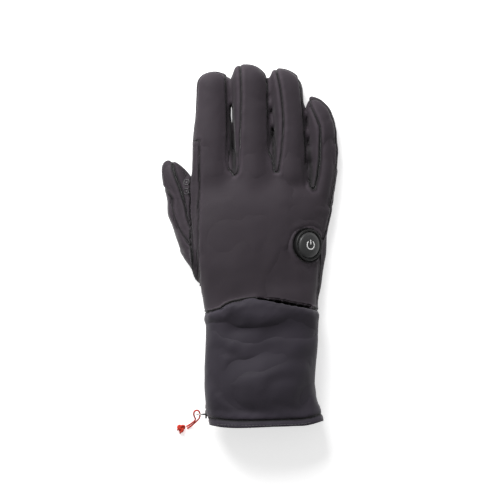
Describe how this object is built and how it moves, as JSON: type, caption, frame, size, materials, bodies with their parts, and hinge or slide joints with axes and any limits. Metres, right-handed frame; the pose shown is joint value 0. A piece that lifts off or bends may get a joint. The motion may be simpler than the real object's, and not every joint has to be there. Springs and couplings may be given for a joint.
{
  "type": "heated glove",
  "caption": "Right-hand heated winter glove with a long gauntlet, a round push button on the back and a zipped hem with a knotted pull cord.",
  "frame": {"origin": "middle of the glove's underside as it lies on its palm, without the cord", "axes": "+Y towards the fingertips, +Z out of the back of the hand, +X towards the little finger"},
  "size_m": [0.1366, 0.2874, 0.0451],
  "materials": {
    "softshell": "matt stretch softshell, charcoal",
    "palm_cloth": "matt grip cloth with raised silicone rings",
    "gauntlet_cloth": "matt smooth softshell, charcoal",
    "zip_nylon": "black woven tape and nylon coil",
    "slider_metal": "black enamelled die casting",
    "bail_wire": "bright wire",
    "ring_plastic": "satin black plastic",
    "button_rubber": "satin dark grey rubber",
    "cord": "red orange braided cord"
  },
  "bodies": {
    "glove": {"back_panel": "softshell", "palm_panel": "palm_cloth", "fourchette_index_middle": "softshell", "fourchette_middle_ring": "softshell", "fourchette_ring_little": "softshell", "thumb_back": "softshell", "thumb_strip": "softshell", "thumb_grip": "palm_cloth", "gauntlet": "gauntlet_cloth", "hem_band": "gauntlet_cloth", "zip": "zip_nylon", "zip_slider": "slider_metal", "zip_bail": "bail_wire", "button_ring": "ring_plastic", "pull_cord": "cord", "cord_knot": "cord"},
    "button": {"button_cap": "button_rubber"}
  },
  "joints": [
    {"name": "button_press", "type": "slide", "parent": "glove", "child": "button", "axis": [-0.5592, 0, -0.829], "range_m": [0, 0.0008], "stiffness_N_per_m": 1200}
  ]
}
